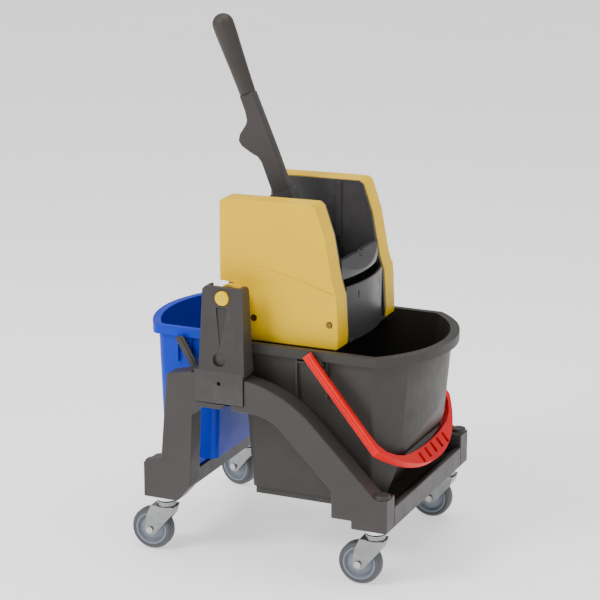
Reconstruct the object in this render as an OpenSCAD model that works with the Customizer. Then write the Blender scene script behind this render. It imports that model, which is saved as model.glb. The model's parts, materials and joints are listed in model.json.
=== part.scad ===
// Double-bucket mop trolley with a lever press wringer on two posts.
// Origin: on the floor, under the middle of the whole length, with +X towards the large bucket's
// round front, +Y to the far side and +Z up. The near side (-Y) is the master and the far side
// mirrors it. Pieces are drawn about the middle of the chassis and placed at the end.

/* [Chassis] */
// Length of the chassis over its corner blocks
chassis_l = 450; // [420:1:540]
// Width of the chassis over its side frames
chassis_w = 394; // [360:1:460]
// Thickness of a side frame
side_t = 36; // [30:1:42]
// Depth of the bridge beam, top to bottom
beam_h = 59; // [48:1:70]
// Rise from the block underside to the top of the bridge beam
beam_rise = 235; // [200:1:280]
// Height of a corner block
block_h = 62; // [50:1:74]
// Length of a corner block
block_l = 64; // [56:1:76]
// Slope of the arch, in degrees
arch_a = 45; // [40:1:50]
// Radius of the arch's back where it leaves the beam
arch_r = 220; // [180:5:260]
// Height of the front rail
rail_h = 37; // [31:1:44]
// Height of the rear tray
tray_h = 27; // [22:1:32]
// Thickness of the centre tie
tie_t = 11; // [9:1:13]

/* [Casters] */
// Wheel diameter over the tread
wheel_d = 75; // [62:1:90]
// Tread width
wheel_w = 24; // [20:1:28]
// Trail from the swivel axis back to the axle
trail = 26; // [22:1:31]
// Headroom from the top of the wheel to the chassis
fork_room = 28; // [24:1:34]
// Swivel pin diameter
stem_d = 10; // [8:1:12]
// Axle diameter
axle_d = 8; // [7:1:10]
// Thickness of the fork plate
fork_t = 2.5; // [2:0.1:3]
// Swivel angle of the three casters that trail to the rear
swivel_rear = 2; // [-10:1:10]
// Swivel angle of the far rear caster
swivel_odd = -15; // [-30:1:30]

/* [Posts and pivot] */
// Distance of the posts and the wringer pivot from the rear end of the chassis
post_in = 147; // [140:1:160]
// Height of the wringer pivot above the bucket rims
pivot_rise = 81; // [70:1:97]
// Width of a post at its top
post_w = 75; // [62:1:90]
// Width of a post at its foot
post_foot_w = 90; // [80:1:96]
// Thickness of a post at its top
post_t = 24; // [20:1:28]
// Lean of a post's outer face, foot to top
post_lean = 18; // [12:1:22]
// Pivot pin diameter
pivot_d = 16; // [13:1:19]
// Diameter of the pivot pin's head
pivot_head_d = 25; // [22:1:28]
// Length of the cover's boss between cover and post
boss_l = 30; // [24:1:36]

/* [Buckets] */
// Height of the rims above the block underside
rim_rise = 286; // [250:1:340]
// Overhang of the large bucket's round front past the chassis
grey_over = 39; // [33:1:47]
// Overhang of the small bucket's round front past the chassis
blue_over = 54; // [45:1:65]
// Height of the rim bands
band_h = 16; // [13:1:20]
// Projection of the rim bands from the walls
band_out = 9; // [7:1:11]
// Bucket wall thickness
wall = 3.5; // [3:0.1:4.2]
// Gap between the large bucket's band and each side frame
bucket_gap = 6; // [4:1:8]
// How much the radius of the large bucket's front exceeds half its width
grey_swell = 39; // [32:1:60]
// How much the radius of the small bucket's front exceeds half its width
blue_swell = 83; // [60:1:121]
// Width of the small bucket over its band
blue_w = 238; // [199:1:250]
// Depth of the large bucket's foot below its floor
foot_h = 14; // [11:1:17]
// Length of the large bucket's bail from its pivot to the outside of its grip
bail_l = 247; // [240:1:262]
// Swing radius of the small bucket's bail
blue_bail_l = 96; // [92:1:98]
// Angle below level at which the large bucket's bail hangs
bail_rest = 50.6; // [49:0.1:52]
// Diameter of the bail pegs
peg_d = 10; // [8:1:12]

/* [Wringer] */
// Depth of each cover
cover_d = 40; // [34:1:48]
// Cover wall thickness
cover_t = 3; // [2.5:0.1:3.6]
// Thickness of the hopper's side plates
plate_t = 6; // [5:0.5:7]
// Lever shaft diameter
lever_shaft_d = 16; // [14:1:19]
// Press shaft diameter
press_shaft_d = 12; // [10:1:14]
// Gear module
gear_m = 4; // [3.5:0.1:4.2]
// Teeth on a pinion
pinion_n = 15; // [15:1:15]
// Teeth that a full sector gear would have
sector_n = 60; // [60:1:60]
// Face width of the gears
gear_w = 9; // [7:1:11]
// Length of the lever from its shaft to the grip's end
lever_l = 373; // [340:1:447]
// Depth of the lever arm in its plane
arm_h = 33; // [28:1:36]
// Thickness of the lever arm across
arm_t = 18; // [15:1:21]
// Lean of the lever at rest, in degrees
lever_lean = 21.5; // [18:0.5:25]
// Largest diameter of the grip
grip_d = 37; // [32:1:44]

/* [Clearances] */
// Radial running clearance of pins and shafts
run = 0.05; // [0.02:0.01:0.1]
// Gap between pieces that move past each other
gap = 0.6; // [0.4:0.1:1]

/* [Hidden] */
$fn = 48;

// Heights, all from the caster wheel upwards
wheel_r = wheel_d / 2;
zb = wheel_d + fork_room;
beam_top = zb + beam_rise;
beam_bot = beam_top - beam_h;
rim_z = zb + rim_rise;
band_z = rim_z - band_h;
pivot_z = rim_z + pivot_rise;
grey_floor = zb + 23;
tray_top = zb + tray_h;

// Lengthwise places
xr = -chassis_l / 2;
xf = chassis_l / 2;
post_x = xr + post_in;
stem_x = xf - 30;
shelf_x = xf - 100;
seat_l = post_x - post_foot_w / 2 - 1;
seat_r = post_x + post_foot_w / 2 - 1;

// Crosswise places
side_y = chassis_w / 2;
side_in = side_y - side_t;
stem_y = side_y - 28;
post_out = side_y + 3;
seat_d = 9;
post_skin = 9;
post_face = post_out - post_lean;
post_inner = post_face - post_t;
boss_y = post_inner - 2;
cover_y = boss_y - boss_l;
plate_y = cover_y - cover_d;
mouth_y = plate_y - plate_t;

// Buckets
grey_w = side_in - bucket_gap;
grey_r = grey_w + grey_swell;
blue_r = blue_w / 2 + blue_swell;
grey_back = post_x + 5;
grey_nose = xf + grey_over;
blue_back = post_x - 36;
blue_nose = xf + blue_over;
grey_peg = [xf - 143, rim_z - 23];
blue_peg = [xr + 41, rim_z - 23];
bail_half = 7.5;
bail_in = grey_w + 5.5;

// Wringer mechanism
gear_c = gear_m * (pinion_n + sector_n) / 2;
mesh_a = 94.65;
shaft_a = [post_x + 48, pivot_z + 97];
shaft_b = shaft_a - gear_c * [cos(mesh_a), sin(mesh_a)];
gear_y = plate_y + 4;

// ---- helpers ----

// Extrudes an XZ outline between two Y planes
module slab(y0, y1) {
  translate([0, y1, 0]) rotate([90, 0, 0]) linear_extrude(y1 - y0) children();
}

// Cylinder along Y between two planes, centred on [x, z]
module rod_y(p, y0, y1, r, fn = 48) {
  translate([p[0], y1, p[1]]) rotate([90, 0, 0]) cylinder(r = r, h = y1 - y0, $fn = fn);
}

module mirror_y() {
  mirror([0, 1, 0]) children();
}

// Points of an arc about c from angle a0 to a1
function arc(c, r, a0, a1, n) = [for (i = [0:n]) let (a = a0 + (a1 - a0) * i / n) c + r * [cos(a), sin(a)]];

// Point where two lines, each given by a point and a direction, cross
function cross2(a, b) = a[0] * b[1] - a[1] * b[0];
function meet(p, d, q, e) = p + d * cross2(q - p, e) / cross2(d, e);

// Outline moved inwards by d, corners kept sharp, points counter-clockwise
function unit(v) = v / norm(v);
function left(v) = [-v[1], v[0]];
function inset(p, d) = [
  for (i = [0:len(p) - 1])
    let (a = p[(i + len(p) - 1) % len(p)], b = p[i], c = p[(i + 1) % len(p)])
    let (u = unit(b - a), v = unit(c - b))
    meet(b + left(u) * d, u, b + left(v) * d, v)
];

// D-shaped outline: flat back at x = back, straight sides at y = +-w, round front to x = nose
function d_front(w, nose, r, rf) = nose - r + sqrt(pow(r - rf, 2) - pow(w - rf, 2));
function d_shape(back, w, nose, r, rf, rb) =
  let (fx = d_front(w, nose, r, rf), a = atan2(w - rf, fx - (nose - r)))
  concat(
    arc([back + rb, -w + rb], rb, 180, 270, 5),
    arc([fx, -w + rf], rf, -90, -a, 5),
    arc([nose - r, 0], r, -a * 0.92, a * 0.92, 20),
    arc([fx, w - rf], rf, a, 90, 5),
    arc([back + rb, w - rb], rb, 90, 180, 5)
  );

// Solid between two outlines at two heights
module loft(z0, p0, z1, p1) {
  hull() {
    translate([0, 0, z0]) linear_extrude(0.01) polygon(p0);
    translate([0, 0, z1 - 0.01]) linear_extrude(0.01) polygon(p1);
  }
}

// ---- chassis ----

// Centre and angles of the arch's curve between the level beam and the slope
function bend_x(x, z, top) = x - (top - z) / tan(arch_a);
function bend(x, z, top, r) =
  arc([bend_x(x, z, top) - r * tan(arch_a / 2), top - r], r, 90 - arch_a, 90, 10);

function side_outline() = concat(
  [
    [xr, zb], [xr + block_l, zb], [xr + block_l + 26, zb + 30],
    [xr + block_l + 31, beam_bot - 15], [xr + block_l + 42, beam_bot]
  ],
  reverse(bend(shelf_x, zb + block_h, beam_bot, 80)),
  [
    [shelf_x, zb + block_h], [shelf_x, zb + 14], [xf - block_l, zb + 14], [xf - block_l, zb],
    [xf, zb], [xf, zb + block_h - 3], [xf - 22, zb + block_h - 3]
  ],
  bend(xf - 22, zb + block_h - 3, beam_top, arch_r),
  [
    [xr + block_l + 32, beam_top], [xr + block_l + 31, beam_top + 3], [xr + 47, beam_top - 8],
    [xr + 34, zb + block_h + 12], [xr + 9, zb + block_h + 6], [xr, zb + block_h]
  ]
);
function reverse(p) = [for (i = [len(p) - 1:-1:0]) p[i]];

module side_frame_near() {
  color("#5c5856") difference() {
    union() {
      slab(-side_y, -side_in) polygon(side_outline());
      for (x = [xr + 13, xf - 13])
        translate([x, -side_y + 13, zb]) cylinder(r = 12.9, h = block_h + 3);
    }
    // seat of the post, with the notch under the beam
    translate([seat_l, -side_y - 1, beam_bot + 12]) cube([seat_r - seat_l, seat_d + 1, beam_h]);
    rod_y([post_x + 12, beam_bot], -side_y - 1, -side_in + 1, 11);
    for (s = [-1, 1])
      translate([s * stem_x, -stem_y, zb - 1]) cylinder(r = stem_d / 2, h = 31);
    for (z = [21, 36]) {
      rod_y([tie_x(), beam_bot + z], -side_y, -side_in + 1, 3);
      rod_y([tie_x(), beam_bot + z], -side_y, -side_y + seat_d + 5, 6);
    }
    rod_y([post_x, beam_top - 12], -side_y, -side_in - 2, 2.5);
  }
}

module front_rail() {
  color("#565250") slab(-side_in, side_in) polygon([
    [xf - 40, zb], [xf, zb], [xf, zb + rail_h], [xf - 8, zb + rail_h],
    [xf - 26, grey_floor], [shelf_x, grey_floor], [shelf_x, grey_floor - 9], [xf - 40, grey_floor - 9]
  ]);
}

module rear_tray() {
  color("#565250") difference() {
    translate([xr, -side_in, zb]) cube([block_l - 7, 2 * side_in, tray_h]);
    for (y = [-0.75, -0.25, 0.25, 0.75])
      translate([xr + 4, side_in * y - side_in / 4 + 2, zb - 1])
        cube([block_l - 15, side_in / 2 - 4, tray_h - 3]);
  }
}

function tie_x() = grey_back - 0.5;

module centre_tie() {
  color("#565250") difference() {
    translate([tie_x() - tie_t / 2, -side_in, beam_bot + 3])
      cube([tie_t, 2 * side_in, band_z - beam_bot - 3]);
    for (s = [-1, 1], z = [21, 36])
      rod_y([tie_x(), beam_bot + z], s * (side_in - 9) - 10, s * (side_in - 9) + 10, 3);
  }
}

module tie_bolts() {
  color("#9a9a98") for (s = [-1, 1], z = [21, 36]) mirror([0, s > 0 ? 1 : 0, 0]) {
    rod_y([tie_x(), beam_bot + z], -side_y + seat_d, -side_y + seat_d + 5, 5.5);
    rod_y([tie_x(), beam_bot + z], -side_y + seat_d + 4, -side_in + 17, 3);
  }
}

// ---- posts and pivots ----

// Outer solid of a post: block on the beam and leaning plate above it
module post_solid() {
  foot_z = beam_top;
  top_z = pivot_z + 18;
  hw = post_w / 2;
  translate([seat_l, -post_out, beam_bot + 12])
    cube([seat_r - seat_l, post_out - side_y + seat_d, beam_h - 12]);
  translate([seat_l, -post_out, foot_z]) cube([seat_r - seat_l, post_out - side_in, 9]);
  intersection() {
    slab(-post_out - 1, -side_in + 20) polygon([
      [post_x - hw, foot_z + 5], [post_x + hw + 9, foot_z + 5], [post_x + hw, top_z - 4],
      [post_x + hw - 4, top_z], [post_x - hw + 5, top_z], [post_x - hw, top_z - 5]
    ]);
    across(200) polygon([
      [-post_out, foot_z + 5], [-side_in, foot_z + 5], [-side_in, rim_z], [-post_inner, top_z],
      [-post_face, top_z]
    ]);
  }
}

// Extrudes a YZ outline along X, w wide and centred on the posts
module across(w) {
  translate([post_x - w / 2, 0, 0]) rotate([90, 0, 90]) linear_extrude(w) children();
}

module post_near() {
  top_z = pivot_z + 18;
  color("#5c5856") difference() {
    union() {
      difference() {
        post_solid();
        // hollow back, open at the top
        across(post_w - 20) polygon([
          [-post_out + post_skin, beam_top + 18], [-side_in + 20, beam_top + 18],
          [-side_in + 20, top_z + 1], [-post_face + post_skin, top_z + 1]
        ]);
      }
      rod_y([post_x, pivot_z], -post_face, -post_inner - 1, pivot_head_d / 2 + 3);
    }
    rod_y([post_x, pivot_z], -post_out - 1, -post_inner + 5, pivot_d / 2);
    rod_y([post_x, pivot_z], -post_out - 1, -post_face + 6, pivot_head_d / 2 + 1);
    rod_y([post_x, rim_z - 22], -post_out - 1, -post_out + 8, 12);
    rod_y([post_x, beam_top - 12], -post_out - 1, -side_y + 5, 3.5);
    rod_y([post_x, beam_top - 12], -post_out, -side_y + seat_d + 1, 2.5);
    // tapered relief below the pivot
    intersection() {
      slab(-post_out - 1, -post_out + 40)
        polygon([[post_x - 11, pivot_z - 16], [post_x, rim_z - 2], [post_x + 11, pivot_z - 16]]);
      across(40) polygon([
        [-post_out - 1, rim_z - 4], [-post_out + 6, rim_z - 4], [-post_face + 4, top_z],
        [-post_out - 1, top_z]
      ]);
    }
  }
}

module post_screws() {
  color("#b9b9b6") for (s = [0, 1]) mirror([0, s, 0]) {
    rod_y([post_x, beam_top - 12], -side_y + 1, -side_y + 5, 3.5);
    rod_y([post_x, beam_top - 12], -side_y + 4, -side_in - 3, 2.5);
  }
}

module pivot_pin_near() {
  color("#f0c800") {
    rod_y([post_x, pivot_z], -post_face - 5, -post_face + 6, pivot_head_d / 2);
    rod_y([post_x, pivot_z], -post_face + 5, -cover_y + 12, pivot_d / 2);
  }
}

// ---- large bucket ----

grey_top = [grey_back + band_out, grey_w - band_out, grey_nose - band_out - 4, grey_r - 5];
grey_low = [grey_back + 21, grey_w - 24, grey_nose - 35, grey_r - 30];
grey_foot_w = grey_low[1] - 7;

// Outline of the large bucket's wall, t inside its outer face
function grey_out(s, t) = d_shape(s[0] + t, s[1] - t, s[2] - t, s[3] - t, 14 - t, 14 - t);

// Space under the sloped front, grown by t for the inner face of the wall
module grey_recess(t) {
  z1 = grey_floor + 142 + t;
  intersection() {
    slab(-200, 200) polygon([
      [grey_nose - 94 - t, grey_floor - 1], [grey_nose + 20, grey_floor - 1],
      [grey_nose + 20, z1], [grey_nose - 21 - t, z1]
    ]);
    translate([0, 0, grey_floor]) rotate([90, 0, 90]) linear_extrude(400) polygon([
      [-112 - t, -1], [112 + t, -1], [90 + t, 87], [79 + t, 127 + t], [66 + t, 132 + t],
      [40, 139 + t], [0, 142 + t], [-40, 139 + t], [-66 - t, 132 + t], [-79 - t, 127 + t],
      [-90 - t, 87]
    ]);
  }
}

module grey_bucket() {
  color("#484642") difference() {
    union() {
      difference() {
        loft(grey_floor, grey_out(grey_low, 0), band_z + 1, grey_out(grey_top, 0));
        grey_recess(0);
      }
      translate([0, 0, band_z]) linear_extrude(band_h)
        polygon(d_shape(grey_back, grey_w, grey_nose, grey_r, 10, 18));
      for (s = [-1, 1])
        rod_y(grey_peg, s > 0 ? grey_w - 20 : -grey_w - 3, s > 0 ? grey_w + 3 : -grey_w + 20, 11);
      grey_foot();
    }
    difference() {
      loft(grey_floor + wall, grey_out(grey_low, wall), rim_z + 1, grey_out(grey_top, wall));
      grey_recess(wall);
      for (s = [-1, 1])
        rod_y(grey_peg, s > 0 ? grey_w - 20 : -grey_w - 3, s > 0 ? grey_w + 3 : -grey_w + 20, 11);
    }
    for (s = [-1, 1])
      rod_y(grey_peg, s > 0 ? grey_w - 18 : -grey_w - 4, s > 0 ? grey_w + 4 : -grey_w + 18, peg_d / 2 + run);
  }
}

// Standing rim under the floor, behind the shelf
module grey_foot() {
  translate([grey_low[0] + 7, -grey_foot_w, grey_floor - foot_h]) difference() {
    cube([shelf_x - 4 - grey_low[0] - 7, 2 * grey_foot_w, foot_h + 1]);
    translate([wall, wall, -1])
      cube([shelf_x - 4 - grey_low[0] - 7 - 2 * wall, 2 * grey_foot_w - 2 * wall, foot_h + 1]);
  }
}

// Bail, drawn flat with its arms along X and then turned down to its rest
module red_bail() {
  w = bail_in + 8;
  bow = 71.193;
  r = (bow * bow + w * w) / (2 * bow);
  h = bail_l - bow;
  color("#d9262c") translate([grey_peg[0], 0, grey_peg[1]]) rotate([0, bail_rest, 0]) {
    difference() {
      translate([0, 0, -bail_half]) linear_extrude(2 * bail_half) polygon(concat(
        [[-24, w], [-24, bail_in], [140, bail_in], [165, bail_in - 2.5], [183, bail_in - 13],
         [199, bail_in - 36]],
        arc([bail_l - 31 - 650, 0], 650, 8.8, -8.8, 10),
        [[199, 36 - bail_in], [183, 13 - bail_in], [165, 2.5 - bail_in],
         [140, -bail_in], [-24, -bail_in], [-24, -w], [h, -w]],
        arc([bail_l - r, 0], r, -asin(w / r) * 0.96, asin(w / r) * 0.96, 24),
        [[h, w]]
      ));
      for (i = [-2:2])
        translate([bail_l - 28, i * 28 - 4.5, -10]) cube([19, 9, 20]);
    }
    for (s = [0, 1]) mirror([0, s, 0])
      rod_y([0, 0], -bail_in - 2, -bail_in + 14, peg_d / 2);
  }
}

// ---- small bucket ----

blue_h = blue_w / 2;
blue_floor = tray_top + 20;
blue_top = [-blue_back + band_out, blue_h - band_out + 2, blue_nose - band_out - 2, blue_r - 9];
blue_low = [-blue_back + 20, blue_h - 19, blue_nose - 19, blue_r - 14];

function blue_out(s, t) = d_shape(s[0] + t, s[1] - t, s[2] - t, s[3] - t, 16 - t, 14 - t);

module blue_bucket() {
  color("#0f5fc4") mirror([1, 0, 0]) difference() {
    union() {
      loft(blue_floor, blue_out(blue_low, 0), band_z + 1, blue_out(blue_top, 0));
      translate([0, 0, band_z]) linear_extrude(band_h)
        polygon(d_shape(-blue_back, blue_h, blue_nose, blue_r, 14, 16));
      blue_foot();
      for (s = [-1, 1])
        rod_y([-blue_peg[0], blue_peg[1]], s > 0 ? blue_h - 16 : -blue_h, s > 0 ? blue_h : -blue_h + 16, 10);
    }
    difference() {
      loft(blue_floor + wall, blue_out(blue_low, wall), rim_z + 1, blue_out(blue_top, wall));
      for (s = [-1, 1])
        rod_y([-blue_peg[0], blue_peg[1]], s > 0 ? blue_h - 16 : -blue_h, s > 0 ? blue_h : -blue_h + 16, 10);
    }
    for (s = [-1, 1])
      rod_y([-blue_peg[0], blue_peg[1]], s > 0 ? blue_h - 14 : -blue_h - 1, s > 0 ? blue_h + 1 : -blue_h + 14,
        peg_d / 2 + run);
  }
}

module blue_foot() {
  x0 = -xr - block_l + 12;
  l = block_l - 18;
  translate([x0, -blue_low[1] + 10, tray_top + gap]) difference() {
    cube([l, 2 * blue_low[1] - 20, blue_floor - tray_top]);
    translate([wall, wall, -1])
      cube([l - 2 * wall, 2 * blue_low[1] - 20 - 2 * wall, blue_floor - tray_top + 1]);
  }
}

module blue_bail() {
  a = blue_bail_l * [cos(45), -sin(45)];
  y0 = blue_h + 3.5;
  color("#4e4b48") translate([blue_peg[0], 0, blue_peg[1]]) {
    for (s = [0, 1]) mirror([0, s, 0]) {
      slab(-y0 - 5, -y0) polygon([
        [-12, 6], [3, 12], [34, -43], a + [4, 5], a + [-2, -5], [24, -52]
      ]);
      rod_y([0, 0], -y0 - 4, -y0 + 13, peg_d / 2);
    }
    slab(-y0 - 2, y0 + 2) polygon([a + [-4, -5], a + [4, -5], a + [4, 5], a + [-4, 5]]);
  }
}

// ---- wringer ----

// Outline of covers and side plates, from the pivot, counter-clockwise
function wringer_outline() = [
  for (p = [
    [28, -85], [181, -85], [186, -81], [187, -65], [183, 3], [175, 28], [161, 103], [144, 153],
    [136, 159], [-26, 156], [-32, 150], [-32, 14], [0, 14], [12, 6], [18, -12], [20, -50], [22, -80]
  ]) [post_x, pivot_z] + p
];
screw_places = [[post_x + 32, pivot_z - 44], [post_x + 170, pivot_z - 41]];

module cover_near() {
  lug = 36;
  color("#f2cc0c") difference() {
    union() {
      difference() {
        slab(-cover_y, -plate_y) polygon(wringer_outline());
        slab(-cover_y + cover_t, -plate_y + 1) polygon(inset(wringer_outline(), cover_t));
      }
      for (p = screw_places) rod_y(p, -cover_y, -plate_y, 6);
      rod_y([post_x, pivot_z], -boss_y, -boss_y + 8, lug / 2);
      rod_y([post_x, pivot_z], -boss_y, -plate_y, 12.5);
      slab(-cover_y + 8, -plate_y) polygon([
        [post_x - 4, pivot_z - 10], [post_x + 22, pivot_z - 22], [post_x + 21, pivot_z + 8],
        [post_x - 4, pivot_z + 12]
      ]);
    }
    rod_y([post_x, pivot_z], -boss_y - 1, -plate_y + 1, pivot_d / 2 + run);
    for (p = screw_places) {
      rod_y(p, -cover_y - 1, -plate_y + 1, 2);
      rod_y(p, -cover_y - 1, -cover_y + 3, 4.5);
    }
  }
}

module cover_screws() {
  color("#b08a2a") for (s = [0, 1]) mirror([0, s, 0]) for (p = screw_places) {
    rod_y(p, -cover_y + 0.4, -cover_y + 3, 4.2);
    rod_y(p, -cover_y + 2, -mouth_y, 2);
  }
}

// Rear wall of the hopper as a strip that follows the back of the outline
function back_line(t) = [
  for (p = [[23 + t, -83], [23 + t, -6], [-26 + t, 20 + t], [-26 + t, 60]]) [post_x, pivot_z] + p
];

module hopper() {
  fw_r = 272;
  front = post_x + 193;
  low = pivot_z - 83;
  color("#454342") difference() {
    union() {
      for (s = [0, 1]) mirror([0, s, 0])
        slab(-plate_y, -mouth_y) polygon(inset(wringer_outline(), 1.5));
      slab(-mouth_y, mouth_y) polygon(concat(back_line(0), reverse(back_line(4))));
      translate([post_x + 23, -mouth_y, low]) cube([front - post_x - 29, 2 * mouth_y, 5]);
      // round front wall
      intersection() {
        translate([front - fw_r, 0, low]) difference() {
          cylinder(r = fw_r, h = 96, $fn = 180);
          translate([0, 0, -1]) cylinder(r = fw_r - 4, h = 98, $fn = 180);
        }
        translate([front - 40, -mouth_y, low]) cube([60, 2 * mouth_y, 96]);
      }
      // guide ribs on the side plates
      for (s = [-1, 1])
        translate([post_x + 94, s > 0 ? mouth_y - 3 : -mouth_y, shaft_a[1] - 40]) cube([10, 3, 96]);
    }
    // drain slots in the floor and two sight slots in the front wall
    for (i = [0:6], j = [-2:2])
      translate([post_x + 44 + i * 18, j * 30 - 11, low - 1]) cube([6, 22, 7]);
    for (s = [-1, 1])
      translate([front - 20, s * 46 - 1.5, pivot_z - 12]) cube([30, 3, 12]);
    for (s = [0, 1]) mirror([0, s, 0]) {
      rod_y(shaft_a, -plate_y - 1, -mouth_y + 1, lever_shaft_d / 2 + 3);
      rod_y(shaft_b, -plate_y - 1, -mouth_y + 1, press_shaft_d / 2 + 3);
      for (p = screw_places) rod_y(p, -plate_y - 1, -mouth_y + 1, 2);
    }
  }
}

// Fixed front jaw: ribbed plate with a curved lip on top and a notch in the middle
module front_jaw() {
  y = mouth_y;
  x = post_x + 168;
  z = pivot_z + 57;
  color("#4a4846") difference() {
    union() {
      slab(-y, y) polygon([
        [x - 22, z - 120], [x - 18, z - 120], [x - 8, z - 30], [x, z - 3], [x - 4, z],
        [x - 12, z - 26]
      ]);
      intersection() {
        translate([x + 15 - 300, 0, 0]) cylinder(r = 300, h = 1000, $fn = 180);
        slab(-y, y) polygon([
          [x - 10, z - 32], [x + 16, z - 33], [x + 16, z - 28], [x + 4, z], [x - 4, z]
        ]);
      }
    }
    translate([x - 20, 0, z + 3]) rotate([0, 90, 0]) cylinder(r = 12, h = 60);
    for (j = [-2:2])
      translate([x - 24, j * 28 - 4, z - 100]) cube([14, 8, 50]);
  }
}

module shaft_bushes() {
  color("#d8d4c8") for (s = [0, 1]) mirror([0, s, 0]) difference() {
    union() {
      rod_y(shaft_a, -plate_y, -mouth_y, lever_shaft_d / 2 + 3);
      rod_y(shaft_b, -plate_y, -mouth_y, press_shaft_d / 2 + 3);
    }
    rod_y(shaft_a, -plate_y - 1, -mouth_y + 1, lever_shaft_d / 2 + run);
    rod_y(shaft_b, -plate_y - 1, -mouth_y + 1, press_shaft_d / 2 + run);
  }
}

// Torsion spring round the near end of the lever shaft
spring_turns = 4;
spring_step = 16;
spring_wire = 1.5;
spring_r = lever_shaft_d / 2 + 6;

module return_spring() {
  n = spring_turns * spring_step;
  sides = 8;
  y0 = -gear_y - gear_w - 3;
  ring = [for (i = [0:n], k = [0:sides - 1])
    let (a = i * 360 / spring_step, b = k * 360 / sides, r = spring_r + spring_wire * cos(b))
    [shaft_a[0] + r * cos(a), y0 - i * 3.4 / spring_step - spring_wire * sin(b), shaft_a[1] + r * sin(a)]];
  skin = [for (i = [0:n - 1], k = [0:sides - 1])
    let (p = i * sides + k, q = i * sides + (k + 1) % sides) [p, q, q + sides, p + sides]];
  caps = [[for (k = [sides - 1:-1:0]) k], [for (k = [0:sides - 1]) n * sides + k]];
  color("#8d8d8b") polyhedron(points = ring, faces = concat(skin, caps), convexity = 8);
}

// ---- gears ----

// One involute tooth half-width angle at radius r, and the gear outline between two teeth
press_a = 25;
backlash = 0.35;
function inv(a) = tan(a) * 180 / PI - a;
function tooth_a(n, r) =
  let (rp = gear_m * n / 2, rb = rp * cos(press_a), a = r > rb ? acos(rb / r) : 0)
  90 / n - backlash / rp * 90 / PI + inv(press_a) - inv(a);
function polar(r, a) = r * [cos(a), sin(a)];
function tooth(n, c) =
  let (rp = gear_m * n / 2, rb = rp * cos(press_a), lo = rp - 1.05 * gear_m, hi = rp + 0.85 * gear_m)
  let (r0 = max(rb, lo), rs = [for (i = [0:4]) r0 + (hi - r0) * i / 4])
  concat(
    [polar(lo, c - tooth_a(n, r0) - 0.3)], [for (r = rs) polar(r, c - tooth_a(n, r))],
    [for (i = [4:-1:0]) polar(rs[i], c + tooth_a(n, rs[i]))], [polar(lo, c + tooth_a(n, r0) + 0.3)]
  );

module gear_teeth(n, first, last, phase) {
  polygon([for (i = [first:last]) each tooth(n, phase + i * 360 / n)]);
}

module pinion_near() {
  color("#7c7c7a") difference() {
    slab(-gear_y - gear_w, -gear_y) translate(shaft_a)
      gear_teeth(pinion_n, 0, pinion_n - 1, mesh_a + 180 + 180 / pinion_n);
    rod_y(shaft_a, -gear_y - gear_w - 1, -gear_y + 1, lever_shaft_d / 2);
  }
}

module sector_near() {
  rim_r = gear_m * sector_n / 2;
  step = 360 / sector_n;
  color("#7c7c7a") difference() {
    slab(-gear_y - gear_w + 1, -gear_y - 1) translate(shaft_b) union() {
      polygon(concat(
        [polar(88, mesh_a + 29), polar(62, mesh_a + 12), polar(13, mesh_a + 60)],
        [polar(13, mesh_a - 60), polar(62, mesh_a - 12), polar(88, mesh_a - 13)],
        [for (i = [-1:6]) each tooth(sector_n, mesh_a + (i - 1) * step)]
      ));
      circle(r = 13);
    }
    rod_y(shaft_b, -gear_y - gear_w - 1, -gear_y + 2, press_shaft_d / 2);
    slab(-gear_y - gear_w, -gear_y) translate(shaft_b) polygon([
      polar(rim_r * 0.62, mesh_a - 5), polar(rim_r * 0.86, mesh_a - 6),
      polar(rim_r * 0.86, mesh_a + 24), polar(rim_r * 0.7, mesh_a + 16)
    ]);
  }
}

// ---- lever ----

// Puts its children in the lever's frame: the lever stands along +Z from its shaft
module lever_frame() {
  translate([shaft_a[0], 0, shaft_a[1]]) rotate([0, -lever_lean, 0]) children();
}
socket_top = 54;
grip_z = lever_l - 142;

module lever_shaft() {
  color("#b7b7b4")
    rod_y(shaft_a, -gear_y - gear_w - 16, gear_y + gear_w + 16, lever_shaft_d / 2);
}

module lever_hub() {
  h = arm_h / 2;
  t = arm_t / 2;
  color("#4e4b48") lever_frame() difference() {
    union() {
      rod_y([0, 0], -26, 26, lever_shaft_d / 2 + 12);
      translate([-h - 4, -t - 4, 0]) cube([2 * h + 8, 2 * t + 8, socket_top]);
    }
    rod_y([0, 0], -27, 27, lever_shaft_d / 2);
    translate([-h, -t, 22]) cube([2 * h, 2 * t, socket_top]);
    rod_y([0, 38], -t - 5, t + 5, 3);
  }
}

module lever_bolt() {
  t = arm_t / 2 + 4;
  color("#9a9a98") lever_frame() {
    rod_y([0, 38], -t - 4, -t, 5.5);
    rod_y([0, 38], -t - 1, t + 1, 3);
    rod_y([0, 38], t, t + 4, 5.5, 6);
  }
}

module lever_arm() {
  h = arm_h / 2;
  color("#4e4b48") lever_frame() difference() {
    union() {
      slab(-arm_t / 2, arm_t / 2) polygon([
        [-h, 22], [h, 22], [h, 120], [13.5, grip_z], [-13.5, grip_z], [-13.5, 204],
        [-16, 187], [-21, 181], [-37, 170], [-44, 160], [-42, 149], [-27, 130], [-20, 123], [-h, 112]
      ]);
      translate([0, 0, grip_z - 1]) cylinder(r = 7, h = 110);
    }
    rod_y([0, 38], -arm_t, arm_t, 3);
  }
}

module lever_grip() {
  r = grip_d / 2;
  l = lever_l - grip_z;
  color("#403e3c") lever_frame() translate([0, 0, grip_z]) rotate_extrude() difference() {
    union() {
      polygon([[0, 0], [r - 4.5, 0], [r - 3.8, 25], [r - 2.6, 55], [r - 1.2, 85], [r - 0.3, l - 40], [r, l - 28],
        [r, l - r], [0, l - r]]);
      intersection() {
        translate([0, l - r]) circle(r = r);
        translate([0, l - r - 1]) square([r + 1, r + 1]);
      }
    }
    translate([-1, -1]) square([8, 110]);
  }
}

// ---- press plate ----

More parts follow.
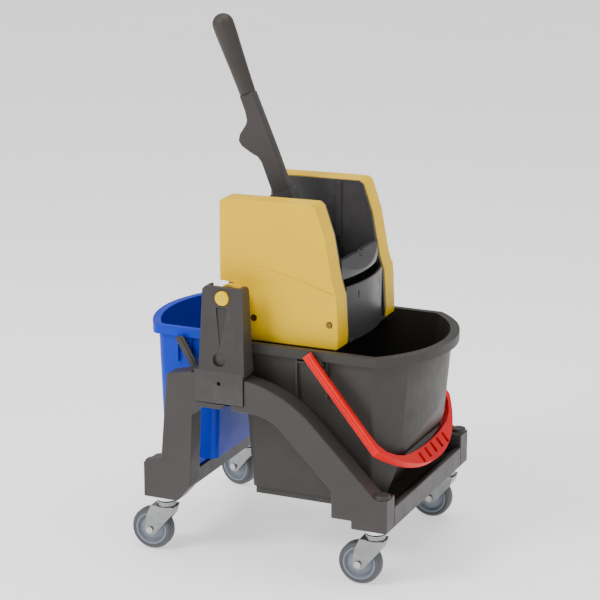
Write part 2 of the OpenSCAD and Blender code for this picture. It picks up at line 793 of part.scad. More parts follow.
module press_shaft() {
  color("#b7b7b4")
    rod_y(shaft_b, -gear_y - gear_w - 2, gear_y + gear_w + 2, press_shaft_d / 2);
}

module press_plate() {
  y = mouth_y - 4;
  b = shaft_b;
  color("#4a4846") difference() {
    union() {
      slab(-y, y) polygon([b + [-8, -10], b + [2, -10], b + [30, 124], b + [25, 128], b + [18, 118]]);
      rod_y(b, -y, y, press_shaft_d / 2 + 6);
      for (j = [-2:2])
        slab(j * 30 - 3, j * 30 + 3) polygon([b + [-14, 8], b + [0, 0], b + [22, 112], b + [10, 100]]);
    }
    rod_y(b, -y - 1, y + 1, press_shaft_d / 2);
    for (i = [0:3], j = [-2:1])
      translate([b[0] - 20, j * 30 + 9, b[1] + 22 + i * 24]) cube([60, 12, 8]);
  }
}

// ---- casters ----

caster_at = [[-stem_x, -stem_y], [stem_x, -stem_y], [stem_x, stem_y], [-stem_x, stem_y]];
caster_turn = [swivel_rear, swivel_rear, swivel_rear, swivel_odd];
axle_at = [-trail, wheel_r];
cheek_y = wheel_w / 2 + 1;

module caster(i) {
  translate([caster_at[i][0], caster_at[i][1], 0]) rotate([0, 0, caster_turn[i]]) children();
}

module race(i) {
  color("#c9c9c6") caster(i) {
    translate([0, 0, zb - 11]) cylinder(r1 = 16, r2 = 19, h = 3);
    translate([0, 0, zb - 8]) cylinder(r = 19, h = 8);
    translate([0, 0, zb - 26]) cylinder(r = stem_d / 2, h = 54);
    translate([0, 0, zb - 27]) cylinder(r = stem_d / 2 + 3, h = 3);
  }
}

module fork(i) {
  top = zb - 20;
  fp = [
    [-24, top], [18, top], [12, top - 18], axle_at + [9, -7], axle_at + [0, -10],
    axle_at + [-9, -5], axle_at + [-10, 2], [-33, top - 20]
  ];
  color("#b5b5b0") caster(i) difference() {
    union() {
      translate([0, 0, top - 3]) cylinder(r = 20, h = 3);
      translate([0, 0, top]) cylinder(r = 17, h = 8.6);
      for (s = [0, 1]) mirror([0, s, 0]) {
        slab(-cheek_y - fork_t, -cheek_y) polygon(reverse(fp));
        rod_y(axle_at, -cheek_y - fork_t, -cheek_y, 10);
      }
      slab(-cheek_y - 1, cheek_y + 1)
        polygon([[18 - fork_t, top], [18, top], [12, top - 18], [12 - fork_t, top - 17]]);
      translate([-24, -cheek_y - fork_t, top - 3]) cube([41, 2 * cheek_y + 2 * fork_t, 3]);
    }
    translate([0, 0, top - 5]) cylinder(r = stem_d / 2 + run, h = 20);
    rod_y(axle_at, -cheek_y - fork_t - 1, cheek_y + fork_t + 1, axle_d / 2);
  }
}

module axle(i) {
  y = cheek_y + fork_t;
  color("#a8a8a5") caster(i) {
    rod_y(axle_at, -y - 1, y + 1, axle_d / 2);
    rod_y(axle_at, -y - 3.5, -y, 6);
    rod_y(axle_at, y, y + 4, 7, 6);
  }
}

module wheel(i) {
  h = wheel_w / 2 - 1;
  r = wheel_r - 8.5;
  color("#b9bdc4") caster(i) translate([axle_at[0], 0, axle_at[1]]) rotate([90, 0, 0]) rotate_extrude()
    polygon([
      [axle_d / 2 + run, -h - 1], [9, -h - 1], [10, -h + 1], [r - 6, -5], [r - 3, -h], [r, -h],
      [r, h], [r - 3, h], [r - 6, 5], [10, h - 1], [9, h + 1], [axle_d / 2 + run, h + 1]
    ]);
}

module tread(i) {
  h = wheel_w / 2;
  r = wheel_r - 8.5;
  color("#6e7073") caster(i) translate([axle_at[0], 0, axle_at[1]]) rotate([90, 0, 0]) rotate_extrude()
    polygon([
      [r, -h + 1], [r + 4, -h], [wheel_r - 2, -h + 2], [wheel_r, -h + 6], [wheel_r, h - 6],
      [wheel_r - 2, h - 2], [r + 4, h], [r, h - 1]
    ]);
}

// ---- nodes ----

// From the middle of the chassis to the middle of the whole length
module place() {
  translate([(blue_over - grey_over) / 2, 0, 0]) children();
}

place() side_frame_near();
place() mirror_y() side_frame_near();  // side_frame_far
place() front_rail();
place() rear_tray();
place() centre_tie();
place() tie_bolts();
place() post_near();
place() mirror_y() post_near();  // post_far
place() post_screws();
place() pivot_pin_near();
place() mirror_y() pivot_pin_near();  // pivot_pin_far
place() grey_bucket();
place() red_bail();
place() blue_bucket();
place() blue_bail();
place() hopper();
place() front_jaw();
place() cover_near();
place() mirror_y() cover_near();  // cover_far
place() cover_screws();
place() shaft_bushes();
place() return_spring();
place() lever_shaft();
place() pinion_near();
place() mirror_y() pinion_near();  // pinion_far
place() lever_hub();
place() lever_bolt();
place() lever_arm();
place() lever_grip();
place() press_shaft();
place() sector_near();
place() mirror_y() sector_near();  // sector_far
place() press_plate();
place() race(0);  // race_near_rear
place() race(1);  // race_near_front
place() race(2);  // race_far_front
place() race(3);  // race_far_rear
place() fork(0);  // fork_near_rear
place() fork(1);  // fork_near_front
place() fork(2);  // fork_far_front
place() fork(3);  // fork_far_rear
place() axle(0);  // axle_near_rear
place() axle(1);  // axle_near_front
place() axle(2);  // axle_far_front
place() axle(3);  // axle_far_rear
place() wheel(0);  // wheel_near_rear
place() wheel(1);  // wheel_near_front
place() wheel(2);  // wheel_far_front
place() wheel(3);  // wheel_far_rear
place() tread(0);  // tread_near_rear
place() tread(1);  // tread_near_front
place() tread(2);  // tread_far_front
place() tread(3);  // tread_far_rear
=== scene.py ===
"""Double-bucket mop trolley with a tilting lever press wringer: shapes, details and finishes."""
import json
import math

import bpy
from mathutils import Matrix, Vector


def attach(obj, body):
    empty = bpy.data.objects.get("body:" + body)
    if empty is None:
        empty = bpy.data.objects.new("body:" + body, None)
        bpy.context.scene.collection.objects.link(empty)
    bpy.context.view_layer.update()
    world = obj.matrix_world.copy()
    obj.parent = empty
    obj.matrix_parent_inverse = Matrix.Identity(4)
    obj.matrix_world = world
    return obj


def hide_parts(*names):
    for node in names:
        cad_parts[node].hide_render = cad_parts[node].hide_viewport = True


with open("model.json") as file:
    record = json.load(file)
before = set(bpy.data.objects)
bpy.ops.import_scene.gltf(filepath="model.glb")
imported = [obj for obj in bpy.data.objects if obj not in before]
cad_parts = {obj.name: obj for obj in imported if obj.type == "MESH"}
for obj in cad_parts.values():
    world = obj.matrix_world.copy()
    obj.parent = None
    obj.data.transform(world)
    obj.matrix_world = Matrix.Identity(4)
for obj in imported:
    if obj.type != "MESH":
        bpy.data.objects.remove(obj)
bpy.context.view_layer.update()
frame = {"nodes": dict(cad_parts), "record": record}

SLOT_OF = {s["node"]: s["material_slot"] for s in frame["record"]["subparts"]}
BODY_OF = {n: b for b, nodes in frame["record"]["behaviour"]["bodies"].items() for n in nodes}

# Metres in a millimetre
MM = 0.001
# The sign of Y on each side
SIDES = {"near": -1.0, "far": 1.0}
CORNERS = ("near_rear", "near_front", "far_front", "far_rear")

# ---- camera and light ----

CAMERA_AT = Vector((1.4805, -3.3797, 1.4721))
CAMERA_TO = Vector((-0.0101, 0.0, 0.4268))
CAMERA_LENS = 133.33
FLOOR_SIZE = 90
FLOOR_DROP = 0.0005


def aim(obj, target):
    obj.rotation_euler = (Vector(target) - obj.location).to_track_quat("-Z", "Y").to_euler()


def add_camera():
    bpy.ops.object.camera_add(location=CAMERA_AT)
    camera = bpy.context.object
    camera.name = "front_camera"
    aim(camera, CAMERA_TO)
    camera.data.lens = CAMERA_LENS
    camera.data.sensor_width = 36.0
    camera.data.clip_end = 60.0
    bpy.context.scene.camera = camera


def add_light(name, place, target, width, height, power):
    bpy.ops.object.light_add(type="AREA", location=place)
    lamp = bpy.context.object
    lamp.name = name
    lamp.data.shape = "RECTANGLE"
    lamp.data.size = width
    lamp.data.size_y = height
    lamp.data.energy = power
    aim(lamp, target)


def add_studio():
    world = bpy.data.worlds.new("studio_air")
    bpy.context.scene.world = world
    world.use_nodes = True
    air = world.node_tree.nodes["Background"]
    air.inputs["Color"].default_value = (1.0, 1.0, 1.0, 1.0)
    air.inputs["Strength"].default_value = 0.6
    add_light("key_softbox", (-1.6, -2.6, 2.9), (0, 0, 0.45), 1.3, 1.3, 105)
    add_light("top_softbox", (0.2, 0.3, 3.0), (0, 0, 0.4), 1.8, 1.8, 42)
    add_light("side_strip", (2.8, -0.6, 1.2), (0, 0, 0.4), 0.8, 2.0, 10)
    bpy.ops.mesh.primitive_plane_add(size=FLOOR_SIZE, location=(0, 0, -FLOOR_DROP))
    floor = bpy.context.object
    floor.name = "studio_floor"
    floor.data.materials.append(plain_floor())


# ---- materials ----

def linear(rgb):
    """Linear colour from the 0 to 255 values of a colour chart."""
    return [(c / 255 / 12.92) if c <= 10 else ((c / 255 + 0.055) / 1.055) ** 2.4 for c in rgb] + [1.0]


def scaled(colour, factor, lift=0.0):
    """The colour made darker or paler, with none of its channels above one."""
    return [min(1.0, c * factor + lift) for c in colour[:3]] + [1.0]


class Finish:
    """A node material built round one Principled shader."""

    def __init__(self, name, **sockets):
        self.material = bpy.data.materials.new(name)
        self.material.use_nodes = True
        self.tree = self.material.node_tree
        self.shader = self.tree.nodes["Principled BSDF"]
        for socket, value in sockets.items():
            self.shader.inputs[socket.replace("_", " ")].default_value = value
        coords = self.tree.nodes.new("ShaderNodeTexCoord")
        self.coords = coords.outputs["Object"]

    def node(self, kind, **settings):
        made = self.tree.nodes.new(kind)
        for key, value in settings.items():
            setattr(made, key, value)
        return made

    def link(self, a, b):
        self.tree.links.new(a, b)

    def noise(self, scale, detail=2.0, rough=0.5, stretch=None):
        made = self.node("ShaderNodeTexNoise")
        made.inputs["Scale"].default_value = scale
        made.inputs["Detail"].default_value = detail
        made.inputs["Roughness"].default_value = rough
        source = self.coords
        if stretch:
            mapping = self.node("ShaderNodeMapping")
            mapping.inputs["Scale"].default_value = stretch
            self.link(source, mapping.inputs["Vector"])
            source = mapping.outputs["Vector"]
        self.link(source, made.inputs["Vector"])
        return made.outputs["Fac"]

    def ramp(self, source, low, high, start=0.3, end=0.7):
        made = self.node("ShaderNodeValToRGB")
        made.color_ramp.elements[0].position = start
        made.color_ramp.elements[1].position = end
        made.color_ramp.elements[0].color = low
        made.color_ramp.elements[1].color = high
        self.link(source, made.inputs["Fac"])
        return made.outputs["Color"]

    def spread(self, source, low, high):
        made = self.node("ShaderNodeMapRange")
        made.inputs["From Min"].default_value = 0.3
        made.inputs["From Max"].default_value = 0.7
        made.inputs["To Min"].default_value = low
        made.inputs["To Max"].default_value = high
        self.link(source, made.inputs["Value"])
        return made.outputs["Result"]

    def bump(self, source, strength, distance, under=None):
        made = self.node("ShaderNodeBump")
        made.inputs["Strength"].default_value = strength
        made.inputs["Distance"].default_value = distance
        self.link(source, made.inputs["Height"])
        if under is not None:
            self.link(under, made.inputs["Normal"])
        return made.outputs["Normal"]

    def colour(self, output):
        self.link(output, self.shader.inputs["Base Color"])

    def rough(self, output):
        self.link(output, self.shader.inputs["Roughness"])

    def normal(self, output):
        self.link(output, self.shader.inputs["Normal"])


def plain_floor():
    finish = Finish("pale_floor", Roughness=0.9)
    cloud = finish.noise(1.5, 3.0)
    finish.colour(finish.ramp(cloud, (0.93, 0.93, 0.93, 1), (0.96, 0.96, 0.96, 1)))
    finish.shader.inputs["Emission Color"].default_value = (1.0, 1.0, 1.0, 1.0)
    finish.shader.inputs["Emission Strength"].default_value = 0.75
    return finish.material


def moulded(name, rgb, rough=0.45, grain=900.0, depth=0.12, mottle=0.05, edge_highlight_and_wear=0.05, specular=0.3):
    """Injection moulded plastic: fine spark grain, faint flow marks, and convex edges painted paler as a
    painted highlight, broken into patches like wear.
    """
    finish = Finish(name, Roughness=rough)
    finish.shader.inputs["Specular IOR Level"].default_value = specular
    base = linear(rgb)
    dark = scaled(base, 1 - mottle)
    pale = scaled(base, 1 + mottle)
    flow = finish.noise(9.0, 4.0, 0.55, stretch=(1.0, 1.0, 2.2))
    tone = finish.ramp(flow, dark, pale, 0.35, 0.68)
    # Painted edge highlight: convex edges found by pointiness are painted paler where the scuff noise
    # lets it through. It is partly wear and partly painted highlight.
    edge = finish.node("ShaderNodeNewGeometry").outputs["Pointiness"]
    edge_highlight_mask = finish.ramp(edge, (0, 0, 0, 1), (1, 1, 1, 1), 0.52, 0.62)
    scuff = finish.noise(60.0, 6.0, 0.65)
    scuff_mask = finish.ramp(scuff, (0.25, 0.25, 0.25, 1), (1, 1, 1, 1), 0.42, 0.66)
    both = finish.node("ShaderNodeMixRGB", blend_type="MULTIPLY")
    both.inputs["Fac"].default_value = 1.0
    finish.link(edge_highlight_mask, both.inputs["Color1"])
    finish.link(scuff_mask, both.inputs["Color2"])
    amount = finish.node("ShaderNodeMath", operation="MULTIPLY")
    amount.inputs[1].default_value = edge_highlight_and_wear * 6
    finish.link(both.outputs["Color"], amount.inputs[0])
    highlit_worn_edges = finish.node("ShaderNodeMixRGB")
    finish.link(amount.outputs["Value"], highlit_worn_edges.inputs["Fac"])
    finish.link(tone, highlit_worn_edges.inputs["Color1"])
    # Paler colour of the painted edge highlight
    highlit_worn_edges.inputs["Color2"].default_value = scaled(base, 1.5, 0.03)
    finish.colour(highlit_worn_edges.outputs["Color"])
    fine = finish.noise(grain, 2.0, 0.6)
    broad = finish.noise(32.0, 3.0, 0.5)
    finish.rough(finish.spread(broad, rough - 0.05, rough + 0.06))
    soft = finish.bump(broad, 0.06, 0.0006)
    finish.normal(finish.bump(fine, depth, 0.0001, soft))
    return finish.material


def zinc(name, rgb, rough):
    """Bright zinc plate: faint crystal patches and fine rolling lines."""
    finish = Finish(name, Metallic=1.0, Roughness=rough)
    base = linear(rgb)
    cells = finish.node("ShaderNodeTexVoronoi")
    cells.inputs["Scale"].default_value = 90.0
    finish.link(finish.coords, cells.inputs["Vector"])
    dull = scaled(base, 0.86)
    finish.colour(finish.ramp(cells.outputs["Color"], dull, base, 0.1, 0.9))
    lines = finish.noise(260.0, 3.0, 0.6, stretch=(1.0, 1.0, 0.12))
    finish.rough(finish.spread(lines, rough - 0.06, rough + 0.1))
    finish.normal(finish.bump(lines, 0.08, 0.0002))
    return finish.material


def turned_steel(name, rgb, rough):
    """Drawn or turned steel with fine lines across its length."""
    finish = Finish(name, Metallic=1.0, Roughness=rough)
    lines = finish.noise(700.0, 2.0, 0.5, stretch=(1.0, 0.06, 1.0))
    base = linear(rgb)
    finish.colour(finish.ramp(lines, scaled(base, 0.85), base))
    finish.rough(finish.spread(lines, rough - 0.05, rough + 0.08))
    finish.normal(finish.bump(lines, 0.1, 0.0001))
    return finish.material


def tyre_rubber(name, rgb):
    """Non-marking rubber: soft, dusty where it rolls."""
    finish = Finish(name, Roughness=0.6)
    base = linear(rgb)
    dust = finish.noise(45.0, 6.0, 0.65)
    finish.colour(finish.ramp(dust, base, scaled(base, 1.25, 0.01), 0.4, 0.75))
    fine = finish.noise(1200.0, 2.0, 0.6)
    finish.rough(finish.spread(dust, 0.5, 0.7))
    finish.normal(finish.bump(fine, 0.12, 0.0001))
    return finish.material


# One finish for each material slot, and three more for parts of a slot that look different
FINISH = {
    "chassis_plastic": moulded("charcoal_chassis_plastic", (58, 55, 54), 0.42, edge_highlight_and_wear=0.08),
    "bucket_plastic": moulded("dark_bucket_plastic", (52, 50, 47), 0.46, grain=700.0, edge_highlight_and_wear=0.06),
    "yellow_plastic": moulded("yellow_cover_plastic", (236, 190, 0), 0.42, grain=1100.0,
                              depth=0.06, mottle=0.03, edge_highlight_and_wear=0.02, specular=0.18),
    "blue_plastic": moulded("blue_bucket_plastic", (0, 48, 188), 0.38,
                            depth=0.06, mottle=0.04, edge_highlight_and_wear=0.02, specular=0.18),
    "red_plastic": moulded("red_bail_plastic", (225, 10, 16), 0.38,
                           depth=0.08, edge_highlight_and_wear=0.03, specular=0.2),
    "hopper_plastic": moulded("hopper_plastic", (62, 60, 60), 0.34, grain=800.0),
    "grip_plastic": moulded("grip_plastic", (56, 53, 50), 0.55, grain=600.0, depth=0.2),
    "nylon": moulded("bush_nylon", (212, 206, 192), 0.5),
    "gear_plastic": moulded("gear_plastic", (130, 130, 126), 0.5),
    "zinc": zinc("zinc_plate", (142, 144, 143), 0.28),
    "chrome": zinc("bright_race", (222, 223, 224), 0.14),
    # Dark screw steel. On the post screws this dark colour is painted shade, standing in for the shaded
    # holes they sit in.
    "dark_steel": turned_steel("dark_screw_steel", (52, 50, 48), 0.5),
    "jaw_plastic": moulded("polished_jaw_plastic", (50, 48, 49), 0.2, grain=500.0,
                           depth=0.05, specular=0.5),
    "steel": turned_steel("drawn_steel", (186, 186, 184), 0.32),
    "brass_screw": turned_steel("brassed_screw", (150, 112, 52), 0.4),
    "wheel_plastic": moulded("wheel_plastic", (120, 126, 136), 0.32, depth=0.05, mottle=0.03, edge_highlight_and_wear=0.02),
    "tread_rubber": tyre_rubber("grey_tread_rubber", (70, 72, 76)),
}


# ---- modelling helpers ----

# Corners nearer than this many millimetres are one, and faces that meet within
# this many degrees of flat are one
SAME_POINT = 0.02
FLAT_ANGLE = 0.6


def only(obj):
    bpy.ops.object.select_all(action="DESELECT")
    obj.select_set(True)
    bpy.context.view_layer.objects.active = obj


def modify(obj, kind, **settings):
    """Adds a modifier, sets it and applies it."""
    only(obj)
    made = obj.modifiers.new(kind.lower(), kind)
    for key, value in settings.items():
        setattr(made, key, value)
    bpy.ops.object.modifier_apply(modifier=made.name)


def round_edges(obj, width, segments=2, angle=35.0, clamp=True):
    modify(obj, "BEVEL", width=width * MM, segments=segments, limit_method="ANGLE",
           angle_limit=math.radians(angle), use_clamp_overlap=clamp)


def smooth(obj, angle=32.0):
    only(obj)
    bpy.ops.object.shade_smooth_by_angle(angle=math.radians(angle))
    modify(obj, "WEIGHTED_NORMAL", keep_sharp=True, weight=80)


def finish_piece(obj, name, body, slot, replaces=(), finish=None):
    obj.name = name
    obj.data.materials.clear()
    obj.data.materials.append(FINISH[finish or slot])
    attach(obj, body)
    if replaces:
        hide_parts(*replaces)


def rounded_copy(node, width, segments=2, angle=35.0, smooth_angle=32.0, finish=None, clamp=True):
    """The node's own shape with merged faces and rounded edges, in place of the plain solid."""
    source = frame["nodes"][node]
    obj = source.copy()
    obj.data = source.data.copy()
    for key in list(obj.keys()):
        del obj[key]
    bpy.context.scene.collection.objects.link(obj)
    obj.parent = None
    only(obj)
    bpy.ops.object.mode_set(mode="EDIT")
    bpy.ops.mesh.select_all(action="SELECT")
    bpy.ops.mesh.remove_doubles(threshold=SAME_POINT * MM)
    bpy.ops.mesh.dissolve_limited(angle_limit=math.radians(FLAT_ANGLE))
    bpy.ops.object.mode_set(mode="OBJECT")
    if width:
        round_edges(obj, width, segments, angle, clamp)
    smooth(obj, smooth_angle)
    finish_piece(obj, node + "_shape", BODY_OF[node], SLOT_OF[node], (node,), finish)


def drawn_plate(name, outline, y0, y1, bevel, segments=2):
    """A flat piece drawn in side view, in millimetres, between two planes square to Y."""
    bpy.ops.object.select_all(action="DESELECT")
    bpy.ops.mesh.primitive_plane_add(size=MM)
    obj = bpy.context.object
    bpy.ops.object.mode_set(mode="EDIT")
    bpy.ops.mesh.select_mode(type="VERT")
    bpy.ops.mesh.select_all(action="SELECT")
    bpy.ops.mesh.merge(type="CENTER")
    x, z = outline[0]
    bpy.ops.transform.translate(value=(x * MM, y0 * MM, z * MM))
    for point in outline[1:] + outline[:1]:
        step = ((point[0] - x) * MM, 0, (point[1] - z) * MM)
        bpy.ops.mesh.extrude_region_move(TRANSFORM_OT_translate={"value": step})
        x, z = point
    bpy.ops.mesh.select_all(action="SELECT")
    bpy.ops.mesh.remove_doubles(threshold=0.01 * MM)
    bpy.ops.mesh.edge_face_add()
    bpy.ops.mesh.extrude_region_move(TRANSFORM_OT_translate={"value": (0, (y1 - y0) * MM, 0)})
    bpy.ops.mesh.select_all(action="SELECT")
    bpy.ops.mesh.normals_make_consistent(inside=False)
    bpy.ops.object.mode_set(mode="OBJECT")
    round_edges(obj, bevel, segments, 30)
    smooth(obj)
    obj.name = name
    return obj


def bar(name, low, high, bevel=0.8):
    """A rounded block between two corners, in millimetres."""
    bpy.ops.object.select_all(action="DESELECT")
    middle = [(a + b) / 2 * MM for a, b in zip(low, high)]
    bpy.ops.mesh.primitive_cube_add(size=1, location=middle)
    obj = bpy.context.object
    obj.scale = [abs(b - a) * MM for a, b in zip(low, high)]
    bpy.ops.object.transform_apply(location=True, rotation=True, scale=True)
    round_edges(obj, bevel, 2, 30)
    smooth(obj)
    obj.name = name
    return obj


def disc(name, x, z, y0, y1, radius, bevel, vertices):
    """A round plate that faces along Y between two planes, in millimetres."""
    bpy.ops.object.select_all(action="DESELECT")
    bpy.ops.mesh.primitive_cylinder_add(vertices=vertices, radius=radius * MM, depth=abs(y1 - y0) * MM,
                                        location=(x * MM, (y0 + y1) / 2 * MM, z * MM),
                                        rotation=(math.pi / 2, 0, 0))
    obj = bpy.context.object
    bpy.ops.object.transform_apply(location=True, rotation=True, scale=True)
    round_edges(obj, bevel, 2, 40)
    smooth(obj)
    obj.name = name
    return obj


# A screw head in millimetres, with the middle of its thickness measured from the washer's
# back. The washer's radius and the width of the ring round the socket are shares of the
# head's radius.
WASHER_THICK = 0.35
WASHER_SHARE = 1.35
HEAD_THICK = 1.4
HEAD_MIDDLE = 0.8
SOCKET_DEPTH = 1.0
RING_SHARE = 0.5


def screw_head(name, x, z, y, way, radius, body):
    """A pan head with a socket, on a thin washer, facing out along Y."""
    washer = disc("washer", x, z, y, y + way * WASHER_THICK, radius * WASHER_SHARE, 0.12, 40)
    finish_piece(washer, name + "_washer", body, "brass_screw", finish="dark_steel")
    bpy.ops.object.select_all(action="DESELECT")
    bpy.ops.mesh.primitive_cylinder_add(vertices=36, radius=radius * MM, depth=HEAD_THICK * MM,
                                        location=(x * MM, (y + way * HEAD_MIDDLE) * MM, z * MM),
                                        rotation=(-way * math.pi / 2, 0, 0))
    head = bpy.context.object
    bpy.ops.object.transform_apply(location=True, rotation=True, scale=True)
    bpy.ops.object.mode_set(mode="EDIT")
    bpy.ops.mesh.select_all(action="DESELECT")
    bpy.ops.object.mode_set(mode="OBJECT")
    outer = max(head.data.polygons, key=lambda face: face.center.y * way)
    outer.select = True
    bpy.ops.object.mode_set(mode="EDIT")
    bpy.ops.mesh.select_mode(type="FACE")
    bpy.ops.mesh.inset(thickness=radius * RING_SHARE * MM)
    inward = (0, -way * SOCKET_DEPTH * MM, 0)
    bpy.ops.mesh.extrude_region_move(TRANSFORM_OT_translate={"value": inward})
    bpy.ops.object.mode_set(mode="OBJECT")
    round_edges(head, 0.25, 2, 40)
    smooth(head)
    finish_piece(head, name, body, "brass_screw")


# Where the details lie, in millimetres. X is measured from the chassis middle, which lies
# SHIFT ahead of the frame's origin. A pair of numbers alone is X and Z in side view.
SHIFT = 7.5
LARGE_PEG = (82.0, 366.0)
SMALL_PEG = (-184.0, 366.0)
COVER_SCREWS = ((-46.0, 426.0), (92.0, 429.0))
COVER_SCREW_RADIUS = 4.3
# The large bail's arms slope down to the front at this angle at rest
BAIL_REST = math.radians(50.6)

# Ribs beside each bucket's bail pegs: X of each rib and half its thickness, then the Y and Z
# that it spans. On the large bucket a lip joins the two ribs.
LARGE_RIB_X = (41.5, 96.0)
LARGE_RIB_HALF = 1.8
LARGE_RIB_Y = (140.5, 150.0)
LARGE_RIB_Z = (306, 374)
LARGE_LIP_X = (43.5, 94.0)
LARGE_LIP_Y = (143.5, 150.0)
LARGE_LIP_Z = (364, 367.5)
SMALL_RIB_X = (-197.0, -172.0)
SMALL_RIB_HALF = 1.5
SMALL_RIB_Y = (107.5, 116.5)
SMALL_RIB_Z = (326, 374)

# Raised rails along the large bail's arms: the span of each one across the arm, their ends
# along the arm, and the Y they span
BAIL_RAILS = ((-7.0, -4.4), (-1.3, 1.3), (4.4, 7.0))
BAIL_RAIL_ENDS = (-20, 171)
BAIL_RAIL_Y = (168.0, 169.9)

# Raised ridge on the small bail's arms, measured from its peg, and the Y it spans
SMALL_RIDGE = ((-8, 4), (0, 8), (31, -45), (64, -66), (62, -71), (27, -50))
SMALL_RIDGE_Y = (127.2, 128.6)

# The lower part of each cover stands out: its upper edge, the rest of its outline, and the Y
# it spans
STEP_LINE = [(-107.3, 519), (-90, 520.2), (-63, 518.6), (-35, 515), (-17, 511.5),
             (10, 506), (38, 499), (66, 491), (92, 482.5), (103.5, 479.5)]
LOWER_EDGE = [(105.8, 455), (107.4, 405), (107.2, 389), (104, 386.8), (-51, 386.8), (-54, 389),
              (-56.3, 420), (-58.4, 458), (-63.5, 472.5), (-75.5, 481.2), (-107.3, 486)]
PANEL_Y = (125.6, 128.4)
# The cover screws' washers lie on this plane, just inside the panel's face
SCREW_FACE = 128.3

# Ears at the rear of the hopper, and the Y they span
EAR = [(-110.5, 477), (-110.5, 462), (-102, 443), (-60, 438),
       (-50, 452), (-50, 482), (-62, 492), (-96, 484)]
EAR_Y = (86.2, 92.0)


def shifted(points):
    """Side view points moved from the chassis middle to the frame's origin."""
    return [(x + SHIFT, z) for x, z in points]


def side_bar(name, x, y, z, sign):
    """A rounded block on one side, from the X, Y and Z that it spans."""
    return bar(name, (x[0] + SHIFT, sign * y[0], z[0]), (x[1] + SHIFT, sign * y[1], z[1]))


def side_plate(name, outline, y, sign, bevel, segments=2):
    """A drawn plate on one side, from the Y that it spans."""
    return drawn_plate(name, outline, sign * y[0], sign * y[1], bevel, segments)


# ---- chassis ----

def make_chassis():
    for side in SIDES:
        rounded_copy("side_frame_" + side, 2.2, 3, 30, clamp=False)
        rounded_copy("post_" + side, 2.2, 3, 30)
        rounded_copy("pivot_pin_" + side, 1.6, 3, 40)
    rounded_copy("front_rail", 2.5, 3, 25)
    rounded_copy("rear_tray", 1.6, 2)
    rounded_copy("centre_tie", 1.5, 2)
    rounded_copy("tie_bolts", 0.4, 2, 60)
    # The post screws take the dark screw steel as painted shade for the shaded holes they sit in
    rounded_copy("post_screws", 0.5, 2, 60, finish="dark_steel")


# ---- buckets ----

def make_large_bucket():
    rounded_copy("grey_bucket", 1.6, 2, 40, smooth_angle=26)
    for side, s in SIDES.items():
        for x in LARGE_RIB_X:
            span = (x - LARGE_RIB_HALF, x + LARGE_RIB_HALF)
            rib = side_bar("bucket_peg_rib", span, LARGE_RIB_Y, LARGE_RIB_Z, s)
            finish_piece(rib, "bucket_peg_rib_%s_%d" % (side, x), "chassis", "bucket_plastic")
        lip = side_bar("bucket_peg_lip", LARGE_LIP_X, LARGE_LIP_Y, LARGE_LIP_Z, s)
        finish_piece(lip, "bucket_peg_lip_" + side, "chassis", "bucket_plastic")


def make_small_bucket():
    rounded_copy("blue_bucket", 1.6, 2, 40, smooth_angle=26)
    for side, s in SIDES.items():
        for x in SMALL_RIB_X:
            span = (x - SMALL_RIB_HALF, x + SMALL_RIB_HALF)
            rib = side_bar("small_peg_rib", span, SMALL_RIB_Y, SMALL_RIB_Z, s)
            finish_piece(rib, "small_peg_rib_%s_%d" % (side, -x), "small_bucket", "blue_plastic")


def bail_point(along, up):
    """Side view place of a point given along and above the large bail's arm."""
    return (LARGE_PEG[0] + SHIFT + along * math.cos(BAIL_REST) + up * math.sin(BAIL_REST),
            LARGE_PEG[1] - along * math.sin(BAIL_REST) + up * math.cos(BAIL_REST))


def make_large_bail():
    rounded_copy("red_bail", 2.6, 3, 40)
    start, end = BAIL_RAIL_ENDS
    for side, s in SIDES.items():
        for i, (low, high) in enumerate(BAIL_RAILS):
            corners = ((start, low), (end, low), (end, high), (start, high))
            outline = [bail_point(along, up) for along, up in corners]
            rail = side_plate("bail_rail", outline, BAIL_RAIL_Y, s, 0.7)
            finish_piece(rail, "bail_rail_%s_%d" % (side, i), "large_bail", "red_plastic")


def make_small_bail():
    rounded_copy("blue_bail", 1.4, 2, 40)
    outline = shifted([(SMALL_PEG[0] + x, SMALL_PEG[1] + z) for x, z in SMALL_RIDGE])
    for side, s in SIDES.items():
        ridge = side_plate("small_bail_ridge", outline, SMALL_RIDGE_Y, s, 0.5)
        finish_piece(ridge, "small_bail_ridge_" + side, "small_bail", SLOT_OF["blue_bail"])


# ---- wringer ----

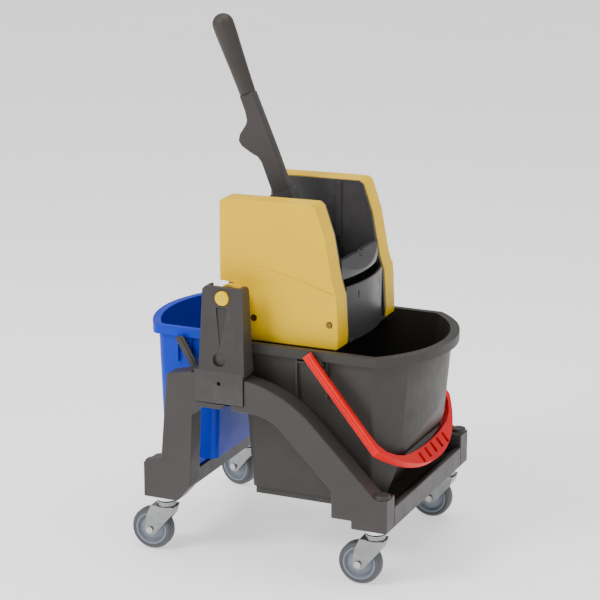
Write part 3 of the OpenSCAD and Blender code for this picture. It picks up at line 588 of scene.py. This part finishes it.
def make_cover(side, s):
    """One side's cover, with its lower panel and the heads of its two screws."""
    rounded_copy("cover_" + side, 1.4, 2, 30, clamp=False)
    panel = side_plate("cover_panel", shifted(STEP_LINE + LOWER_EDGE), PANEL_Y, s, 1.6, 3)
    finish_piece(panel, "cover_lower_panel_" + side, "wringer", "yellow_plastic")
    for i, (x, z) in enumerate(COVER_SCREWS):
        name = "cover_screw_%s_%d" % (side, i)
        screw_head(name, x + SHIFT, z, s * SCREW_FACE, s, COVER_SCREW_RADIUS, "wringer")


def make_wringer():
    for side, s in SIDES.items():
        make_cover(side, s)
        ear = side_plate("hopper_ear", shifted(EAR), EAR_Y, s, 1.5)
        finish_piece(ear, "hopper_ear_" + side, "wringer", "hopper_plastic")
    rounded_copy("hopper", 0.8, 2, 40)
    rounded_copy("front_jaw", 1.6, 3, 35, finish="jaw_plastic")
    rounded_copy("cover_screws", 0.5, 2, 60)
    rounded_copy("shaft_bushes", 0)
    rounded_copy("return_spring", 0, smooth_angle=60)


# ---- lever and press ----

def make_lever():
    rounded_copy("lever_arm", 2.6, 3, 24, clamp=False)
    rounded_copy("lever_hub", 2.0, 2, 40)
    rounded_copy("lever_grip", 1.2, 2, 45)
    rounded_copy("lever_bolt", 0.6, 2, 50)
    rounded_copy("lever_shaft", 0.8, 2, 60)


def make_gears():
    for side in SIDES:
        rounded_copy("pinion_" + side, 0)
        rounded_copy("sector_" + side, 0)


def make_press():
    rounded_copy("press_shaft", 0.8, 2, 60)
    rounded_copy("press_plate", 1.0, 2, 40)


# ---- casters ----

def make_casters():
    for corner in CORNERS:
        rounded_copy("race_" + corner, 0.9, 2, 50, finish="chrome")
        rounded_copy("fork_" + corner, 0.8, 2, 40)
        rounded_copy("axle_" + corner, 0.8, 2, 50)
        rounded_copy("wheel_" + corner, 0.6, 2, 50)
        rounded_copy("tread_" + corner, 0.6, 2, 50)


add_camera()
add_studio()
make_chassis()
make_large_bucket()
make_small_bucket()
make_large_bail()
make_small_bail()
make_wringer()
make_lever()
make_gears()
make_press()
make_casters()
